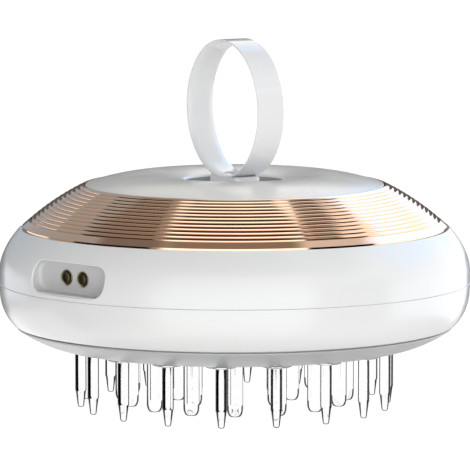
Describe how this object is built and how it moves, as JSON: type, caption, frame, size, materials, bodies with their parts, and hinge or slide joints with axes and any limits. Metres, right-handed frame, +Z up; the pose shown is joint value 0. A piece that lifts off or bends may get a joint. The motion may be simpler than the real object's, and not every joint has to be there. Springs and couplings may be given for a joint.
{
  "type": "electric scalp massager",
  "caption": "Round palm-sized vibrating scalp massager: clear comb teeth below, a dished press button on top and a swivelling finger ring.",
  "frame": {"origin": "on the body's axis, in the plane that the pointed teeth stand on", "axes": "+Z up along the body's axis, towards the finger ring; the charging port faces -Y"},
  "size_m": [0.096, 0.096, 0.075],
  "materials": {
    "shell_white": "high gloss moulded white",
    "cap_white": "soft gloss moulded white",
    "ring_white": "high gloss moulded white",
    "port_white": "fine satin white",
    "base_grey": "satin light grey",
    "tooth_clear": "clear, polished",
    "trim_rose_gold": "rose gold anodised, turned grooves",
    "contact_gold": "gold plated",
    "seal_rubber": "moulded silicone",
    "inner_white": "plain moulded",
    "inner_grey": "plain moulded",
    "tape": "adhesive film",
    "screw_steel": "zinc plated",
    "spring_steel": "drawn wire",
    "board_green": "solder resist",
    "chip_black": "moulded epoxy",
    "led_lens": "clear resin",
    "battery_foil": "laminated pouch",
    "motor_steel": "drawn can",
    "weight_brass": "turned",
    "magnet_nickel": "nickel plated",
    "wire_red": "insulation",
    "wire_blue": "insulation"
  },
  "bodies": {
    "housing": {"upper_shell": "shell_white", "lower_shell": "shell_white", "seam_seal": "seal_rubber", "base_plate": "base_grey", "base_gasket": "seal_rubber", "outer_teeth": "tooth_clear", "middle_teeth": "tooth_clear", "inner_teeth": "tooth_clear", "tooth_clamp": "inner_white", "clamp_screws": "screw_steel", "trim_ring": "trim_rose_gold", "trim_tape": "tape", "button_springs": "spring_steel", "chassis": "inner_grey", "case_screws": "screw_steel", "led_board": "board_green", "leds": "led_lens", "led_screws": "screw_steel", "main_board": "board_green", "board_screws": "screw_steel", "board_chips": "chip_black", "battery_socket": "inner_white", "switch_body": "chip_black", "battery": "battery_foil", "battery_pad": "tape", "motor_can": "motor_steel", "motor_strap": "motor_steel", "strap_screws": "screw_steel", "port_insert": "port_white", "port_seal": "seal_rubber", "charge_contacts": "contact_gold", "port_magnets": "magnet_nickel", "contact_board": "board_green", "battery_wires": "wire_red", "motor_wires": "wire_blue", "contact_wires": "wire_red", "led_wires": "wire_blue"},
    "button": {"button_cap": "cap_white", "button_seal": "seal_rubber", "pusher_plate": "inner_white", "pusher_screws": "screw_steel"},
    "ring": {"finger_ring": "ring_white", "ring_washer": "screw_steel", "ring_screw": "screw_steel"},
    "rotor": {"motor_shaft": "motor_steel", "eccentric_weight": "weight_brass"},
    "plunger": {"switch_plunger": "chip_black"}
  },
  "joints": [
    {"name": "button_press", "type": "slide", "parent": "housing", "child": "button", "axis": [0, 0, -1], "range_m": [0, 0.0006], "stiffness_N_per_m": 1200, "springref_m": -0.001, "deforming": ["button_springs"]},
    {"name": "ring_swivel", "type": "hinge", "parent": "button", "child": "ring", "pos_m": [0, 0, 0.0436], "axis": [0, 0, 1], "continuous": true},
    {"name": "motor_spin", "type": "hinge", "parent": "housing", "child": "rotor", "pos_m": [0.02303, 0, 0.03], "axis": [0, 1, 0], "continuous": true},
    {"name": "switch_press", "type": "slide", "parent": "housing", "child": "plunger", "axis": [0, 0, -1], "range_m": [0, 0.0006]}
  ],
  "couplings": [
    {"joint": "switch_press", "follows": "button_press", "ratio": 1}
  ]
}
